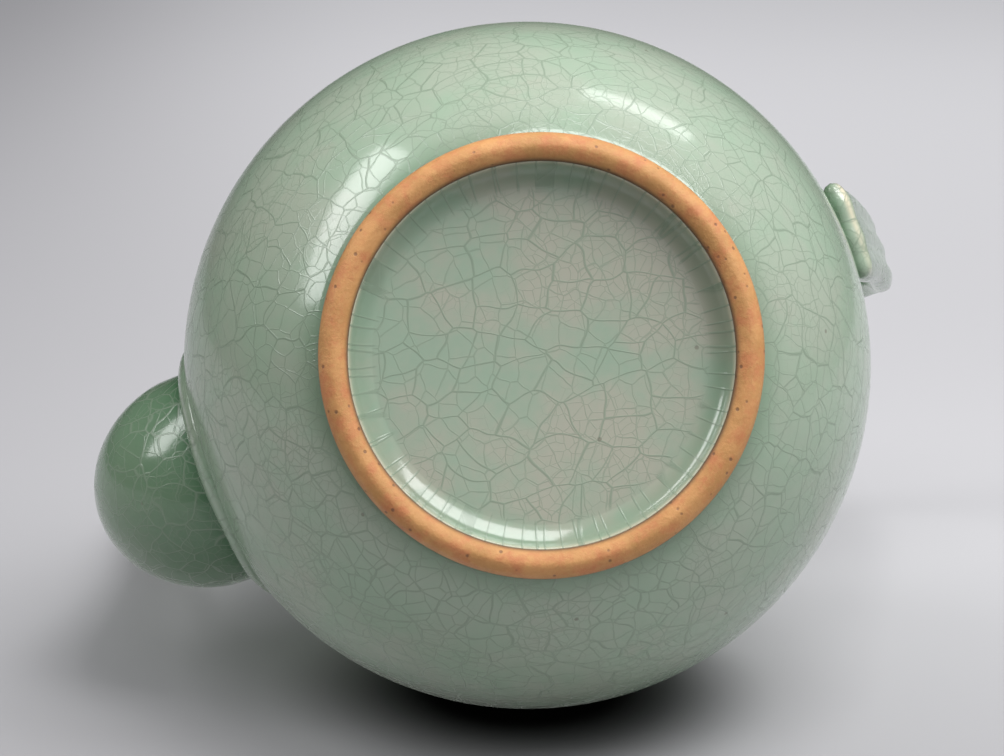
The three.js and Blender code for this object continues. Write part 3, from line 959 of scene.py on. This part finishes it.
def bead_pool(points):
    off = np.hypot(points[:, 1], points[:, 2] - SPOUT_HEIGHT) - SPOUT_ROOT
    return 0.9 * np.exp(-((off - 0.0004) / 0.0014) ** 2) + 0.35 * np.exp(-((off - 0.0056) / 0.0009) ** 2)


form(
    "spout_bead_glazed",
    [bead_ring(angle) for angle in np.linspace(0, 2 * math.pi, 160, endpoint=False)],
    36,
    "ewer",
    "spout_collar",
    body_glaze,
    closed=True,
    marks={"pool_and_shade": bead_pool},
)


# Handle
# A wide strap pulled from a lump of clay, grooved along its length, and pressed on at both ends
# with a roll of clay. Glaze runs off the sharp crests and leaves them cream and rusty. The strap
# is also painted darker green all along, as painted shade.
_, STRAP_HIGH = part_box("handle_strap")
HANDLE_WIDTH = 0.0205
HANDLE_THICKNESS = 0.007
FOOT_LEAN = -0.004
ARCH_LEAN = 0.0007
ARCH_SLIM = 0.92
GROOVE = 0.0013


def bulb_radius_at(ball, centre, height):
    return math.sqrt(max(ball**2 - ((height - centre) / FLATTENING) ** 2, 0))


small_centre = BULB_CENTRE + FLATTENING * SMALL_RISE
HANDLE_FOOT = BULB_CENTRE + 0.007
HANDLE_HEAD = small_centre + 0.0063
arch_reach = STRAP_HIGH.x - HANDLE_THICKNESS / 2
foot_reach = bulb_radius_at(BULB_RADIUS, BULB_CENTRE, HANDLE_FOOT) + 0.0024
head_reach = bulb_radius_at(SMALL_RADIUS, small_centre, HANDLE_HEAD) - 0.005


def strap_knot(start, share_out, share_up, lean, grow=1.0, shift=0.0):
    return (
        start + share_out * (arch_reach - start) + shift,
        lean,
        HANDLE_FOOT + share_up * (HANDLE_HEAD - HANDLE_FOOT),
        grow,
    )


strap_knots = [
    strap_knot(foot_reach, 0, -0.035, FOOT_LEAN, 0.35, -0.0012),
    strap_knot(foot_reach, 0, 0.0, FOOT_LEAN, 0.9),
    strap_knot(foot_reach, 0.2, 0.12, FOOT_LEAN * 0.8),
    strap_knot(foot_reach, 0.5, 0.3, FOOT_LEAN * 0.4, ARCH_SLIM),
    strap_knot(foot_reach, 0.78, 0.52, ARCH_LEAN, ARCH_SLIM),
    strap_knot(foot_reach, 1, 0.78, ARCH_LEAN, ARCH_SLIM),
    strap_knot(head_reach, 0.9, 0.98, ARCH_LEAN, ARCH_SLIM),
    strap_knot(head_reach, 0.6, 1.08, ARCH_LEAN * 0.6, ARCH_SLIM),
    strap_knot(head_reach, 0.3, 1.07, ARCH_LEAN * 0.3),
    strap_knot(head_reach, 0, 1.0, 0, 1.1),
]
strap_line = smooth([knot[:3] for knot in strap_knots], 150)
strap_grow = smooth([(knot[3], 0) for knot in strap_knots], 150)[:, 0]


strap_rings = carried(strap_line, strap_grow * HANDLE_THICKNESS / 2, strap_grow * HANDLE_WIDTH / 2)


def strap_thin(points):
    near_foot = np.exp(-(np.maximum(points[:, 2] - HANDLE_FOOT, 0) / 0.006) ** 2)
    across = (points[:, 1] - FOOT_LEAN) / (HANDLE_WIDTH / 2)
    crest = np.exp(-((np.abs(across) - 0.94) / 0.08) ** 2)
    return 0.6 * near_foot * crest


# Painted shade: the whole strap is mixed part way to the pool green, more where glaze gathers at the bulb.
def strap_pool_and_painted_shade(points):
    by_bulb = np.exp(-(off_bulb(points) / 0.003) ** 2)
    return 0.6 + 0.3 * by_bulb


form(
    "handle_strap_glazed",
    strap_rings,
    96,
    "ewer",
    "handle_strap",
    body_glaze,
    marks={"pool_and_shade": strap_pool_and_painted_shade, "thin": strap_thin},
    section={"Out Power": 0.55, "Side Power": 0.75, "Groove": GROOVE / HANDLE_THICKNESS, "Grooves": 3.0},
)


def clay_roll(name, node, radius, length, centre, squash, marks):
    """A round-ended roll lying along Y, pressed flat against the pot."""
    x, y, z = centre
    rings = []
    for share in np.linspace(-1, 1, 49):
        size = radius * (1 - abs(share) ** 5) ** 0.5 * (1 + 0.05 * math.sin(9 * share))
        rings.append(((x, y + share * length / 2, z), (size * squash, 0, 0), (0, 0, size)))
    form(name, rings, 48, "ewer", node, body_glaze, marks=marks)


ROLL_LOW, ROLL_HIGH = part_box("handle_foot_roll")
ROLL_RADIUS = 0.0031
ROLL_LENGTH = 0.021
roll_middle = (ROLL_LOW + ROLL_HIGH) / 2


def roll_thin(points):
    facing = (points[:, 0] - roll_middle.x) / ROLL_RADIUS
    side = (roll_middle.z - points[:, 2]) / ROLL_RADIUS
    end = np.clip((points[:, 1] - roll_middle.y) / 0.010, -1, 1)
    return (0.6 - 0.4 * end) * np.exp(-((facing - 0.50) / 0.22) ** 2) * (side > -0.4)


def roll_pool(points):
    return 0.8 * np.exp(-((points[:, 0] - ROLL_LOW.x - 0.0012) / 0.0016) ** 2)


clay_roll(
    "handle_foot_roll_glazed",
    "handle_foot_roll",
    ROLL_RADIUS,
    ROLL_LENGTH,
    (roll_middle.x - 0.0002, FOOT_LEAN, roll_middle.z - 0.0001),
    squash=0.95,
    marks={"pool_and_shade": roll_pool, "thin": roll_thin},
)

PAD_LOW, PAD_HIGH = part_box("handle_head_pad")
PAD_RADIUS = 0.0048
PAD_LENGTH = 0.019
clay_roll(
    "handle_head_pad_glazed",
    "handle_head_pad",
    PAD_RADIUS,
    PAD_LENGTH,
    (PAD_HIGH.x - PAD_RADIUS, 0.0, PAD_LOW.z + 0.0050),
    squash=0.98,
    marks={"pool_and_shade": lambda p: 0.7 * np.exp(-((p[:, 0] - PAD_LOW.x - 0.002) / 0.002) ** 2)},
)


# Cord loops
# Two little rings of rolled clay, one on the handle and one on the lid, for the cord that would
# keep the lid from being lost. The glaze is thin on their outer rims.
LOOP_RADIUS = 0.0039
LOOP_THICKNESS = 0.0015


def cord_loop(name, node, body, centre):
    rings = []
    for turn_share in np.linspace(0, 2 * math.pi, 96, endpoint=False):
        outwards = Vector((math.cos(turn_share), 0, math.sin(turn_share)))
        thick = LOOP_THICKNESS * (1 + 0.10 * math.sin(2 * turn_share + 0.4))
        rings.append((centre + outwards * LOOP_RADIUS, outwards * thick, (0, thick, 0)))

    def rim(points):
        reach = np.hypot(points[:, 0] - centre.x, points[:, 2] - centre.z)
        return 0.6 * np.exp(-((reach - LOOP_RADIUS - LOOP_THICKNESS) / 0.0004) ** 2)

    form(name, rings, 32, body, node, body_glaze, closed=True, marks={"thin": rim})


HOOK_LOW, HOOK_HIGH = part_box("handle_cord_loop")
hook_reach = LOOP_RADIUS + LOOP_THICKNESS
cord_loop(
    "handle_cord_loop_glazed",
    "handle_cord_loop",
    "ewer",
    Vector((HOOK_HIGH.x - hook_reach, (HOOK_LOW.y + HOOK_HIGH.y) / 2, HOOK_HIGH.z - hook_reach)),
)
_, EYE_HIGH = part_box("lid_cord_loop")
cord_loop(
    "lid_cord_loop_glazed",
    "lid_cord_loop",
    "lid",
    Vector((EYE_HIGH.x - hook_reach, 0, EYE_HIGH.z - hook_reach)),
)


# Lid
# A low dome with a rounded brim, glazed on top. The sleeve under it is bare clay, so that it does
# not stick in the neck. A bent gourd stem is its knob.
DOME_LOW, DOME_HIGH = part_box("lid_dome")
SLEEVE_LOW, SLEEVE_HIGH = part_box("lid_sleeve")
STEM_LOW, STEM_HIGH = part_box("lid_stem_knob")
LID_RADIUS = DOME_HIGH.x
LID_EDGE = 0.002
LID_RISE = 0.008
LID_HOLLOW = 0.0026
SLEEVE_WALL = 0.0022
sleeve_inner = SLEEVE_HIGH.x - SLEEVE_WALL
dome_top = smooth(
    [
        (LID_RADIUS - 0.0006, DOME_LOW.z),
        (LID_RADIUS - 0.0001, DOME_LOW.z + 0.0006),
        (LID_RADIUS, DOME_LOW.z + 0.0013),
        (LID_RADIUS - 0.0007, DOME_LOW.z + LID_EDGE),
        (LID_RADIUS - 0.0017, DOME_LOW.z + LID_EDGE + 0.0004),
        (LID_RADIUS - 0.0024, DOME_LOW.z + LID_EDGE + 0.0022),
        (LID_RADIUS - 0.0050, DOME_LOW.z + LID_EDGE + 0.0039),
        (LID_RADIUS * 0.45, DOME_LOW.z + LID_RISE - 0.0007),
        (LID_RADIUS * 0.2, DOME_LOW.z + LID_RISE - 0.0002),
        (0, DOME_LOW.z + LID_RISE - 0.0001),
    ],
    90,
)
dome_under = [
    (0, DOME_LOW.z + LID_HOLLOW),
    (sleeve_inner, DOME_LOW.z + LID_HOLLOW),
    (sleeve_inner, DOME_LOW.z),
]
form(
    "lid_dome_glazed",
    turned([*dome_under, *dome_top]),
    160,
    "lid",
    "lid_dome",
    body_glaze,
    marks={
        "pool_and_shade": height_pool((DOME_LOW.z + LID_EDGE + 0.0003, 0.0008, 0.6)),
        "thin": lambda p: 0.6
        * np.exp(-((np.hypot(p[:, 0], p[:, 1]) - LID_RADIUS) / 0.0006) ** 2),
    },
)
sleeve_profile = smooth(
    [
        (sleeve_inner, SLEEVE_LOW.z + 0.0004),
        (sleeve_inner + 0.0006, SLEEVE_LOW.z),
        (SLEEVE_HIGH.x - 0.0010, SLEEVE_LOW.z),
        (SLEEVE_HIGH.x - 0.0004, SLEEVE_LOW.z + 0.0005),
        (SLEEVE_HIGH.x - 0.0001, SLEEVE_LOW.z + 0.0016),
        (SLEEVE_HIGH.x, SLEEVE_LOW.z + 0.003),
        (SLEEVE_HIGH.x, SLEEVE_HIGH.z),
    ],
    48,
)
form(
    "lid_sleeve_bare",
    turned([*sleeve_profile, (sleeve_inner, SLEEVE_HIGH.z)]),
    128,
    "lid",
    "lid_sleeve",
    bare_clay,
    closed=True,
)
STEM_RADIUS = 0.0031
STEM_TIP = 0.002
STEM_BEND = 0.006
STEM_HEIGHT = 0.017
stem_base = STEM_RADIUS * 1.35
stem_knots = [
    (0, -0.08, stem_base * 1.05),
    (0, 0.03, stem_base * 0.93),
    (0.02, 0.25, STEM_RADIUS * 0.8),
    (0.22, 0.6, (STEM_RADIUS + STEM_TIP) / 2 * 0.85),
    (0.62, 0.86, STEM_TIP * 0.95),
    (0.96, 0.985, STEM_TIP * 1.12),
    (1.0, 1.0, STEM_TIP * 0.9),
]
stem_path = [(-STEM_BEND * bend, 0, STEM_LOW.z + share * STEM_HEIGHT) for bend, share, _ in stem_knots]
stem_line = smooth(stem_path, 70)
stem_size = smooth([(radius, 0) for _, _, radius in stem_knots], 70)[:, 0]


form(
    "lid_stem_glazed",
    carried(stem_line, stem_size, stem_size),
    64,
    "lid",
    "lid_stem_knob",
    body_glaze,
    marks={
        "pool_and_shade": height_pool((STEM_LOW.z, 0.0016, 0.6)),
        "thin": lambda p: 0.6 * np.exp(-((p[:, 2] - STEM_HIGH.z) / 0.0015) ** 2),
    },
    section={"Flute": 0.07, "Flutes": 5.0},
)
